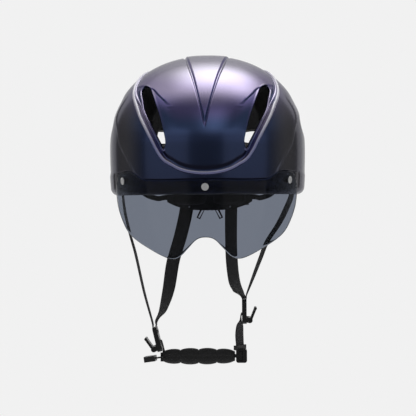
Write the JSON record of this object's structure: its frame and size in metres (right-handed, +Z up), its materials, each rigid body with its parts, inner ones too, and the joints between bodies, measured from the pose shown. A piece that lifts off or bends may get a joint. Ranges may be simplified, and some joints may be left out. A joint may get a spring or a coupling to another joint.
{
  "type": "bicycle helmet",
  "caption": "Smooth city bicycle helmet with a two-piece shell, foam liner, magnetic wrap-round smoked visor, dial-fitted head ring and chin strap.",
  "frame": {"origin": "middle of the head opening at the height of the shell's rim", "axes": "the wearer faces -Y, +X is the wearer's left, +Z is up"},
  "size_m": [0.2148, 0.2879, 0.3379],
  "materials": {
    "crown_paint": "iridescent paint that turns from lilac on top through violet to deep blue at the brow, under clear lacquer",
    "side_paint": "dark grey-blue paint under clear lacquer",
    "foam": "black moulded bead foam",
    "pad_cloth": "black brushed mesh cloth over thin foam",
    "webbing": "black woven polyester webbing",
    "smoked_lens": "smoked polycarbonate with a hard coat",
    "bright_steel": "turned steel",
    "gear_plastic": "pale acetal",
    "knob_rubber": "black soft-touch rubber over nylon",
    "black_plastic": "black moulded nylon"
  },
  "bodies": {
    "helmet": {"crown_shell": "crown_paint", "side_shell": "side_paint", "foam_liner": "foam", "shell_magnets": "bright_steel", "brow_pad": "pad_cloth", "crown_pad": "pad_cloth", "temple_pad_left": "pad_cloth", "temple_pad_right": "pad_cloth", "strap_anchor_front_left": "black_plastic", "strap_anchor_front_right": "black_plastic", "strap_anchor_rear_left": "black_plastic", "strap_anchor_rear_right": "black_plastic", "ring_plug_left": "black_plastic", "ring_plug_right": "black_plastic", "cradle_plate": "black_plastic", "cradle_pad": "pad_cloth", "cradle_hanger": "black_plastic", "gear_case": "black_plastic", "gear_case_screws": "bright_steel", "strap_front_left": "webbing", "strap_front_right": "webbing", "strap_rear_left": "webbing", "strap_rear_right": "webbing", "divider_left": "black_plastic", "divider_right": "black_plastic", "cam_pin_left": "black_plastic", "cam_pin_right": "black_plastic", "strap_lower_left": "webbing", "buckle_socket": "black_plastic", "socket_magnet": "bright_steel"},
    "dial": {"pinion": "gear_plastic", "dial_knob": "knob_rubber", "dial_screw": "bright_steel"},
    "rack_slide_left": {"rack_left": "gear_plastic", "ring_arm_left": "black_plastic"},
    "rack_slide_right": {"rack_right": "gear_plastic", "ring_arm_right": "black_plastic"},
    "visor": {"visor_lens": "smoked_lens", "visor_studs": "bright_steel", "visor_magnets": "bright_steel"},
    "lever_left": {"cam_lever_left": "black_plastic"},
    "lever_right": {"cam_lever_right": "black_plastic"},
    "chin_strap": {"chin_pad": "pad_cloth", "chin_webbing": "webbing", "buckle_tongue": "black_plastic", "tongue_magnet": "bright_steel", "chin_link_right": "webbing", "strap_tail": "webbing", "tail_stop": "black_plastic"}
  },
  "joints": [
    {"name": "dial_turn", "type": "hinge", "parent": "helmet", "child": "dial", "pos_m": [0, 0.098, -0.003], "axis": [0, 1, 0], "range_deg": [0, 127.32]},
    {"name": "ring_slide_left", "type": "slide", "parent": "helmet", "child": "rack_slide_left", "axis": [-1, 0, 0], "range_m": [0, 0.01002], "deforming": ["ring_arm_left"]},
    {"name": "ring_slide_right", "type": "slide", "parent": "helmet", "child": "rack_slide_right", "axis": [1, 0, 0], "range_m": [0, 0.01002], "deforming": ["ring_arm_right"]},
    {"name": "visor_pull_off", "type": "slide", "parent": "helmet", "child": "visor", "axis": [0, -1, 0], "range_m": [0, 0.05]},
    {"name": "cam_lever_left_turn", "type": "hinge", "parent": "helmet", "child": "lever_left", "pos_m": [0.045, -0.008, -0.1385], "axis": [0, 1, 0], "range_deg": [-22, 60]},
    {"name": "cam_lever_right_turn", "type": "hinge", "parent": "helmet", "child": "lever_right", "pos_m": [-0.05991, -0.008, -0.16961], "axis": [0, -1, 0], "range_deg": [-22, 60]},
    {"name": "buckle_slide", "type": "slide", "parent": "helmet", "child": "chin_strap", "axis": [0, -1, 0], "range_m": [0, 0.012], "deforming": ["chin_link_right", "strap_tail"]}
  ],
  "couplings": [
    {"joint": "ring_slide_left", "follows": "dial_turn", "m_per_rad": 0.0045},
    {"joint": "ring_slide_right", "follows": "dial_turn", "m_per_rad": 0.0045}
  ]
}
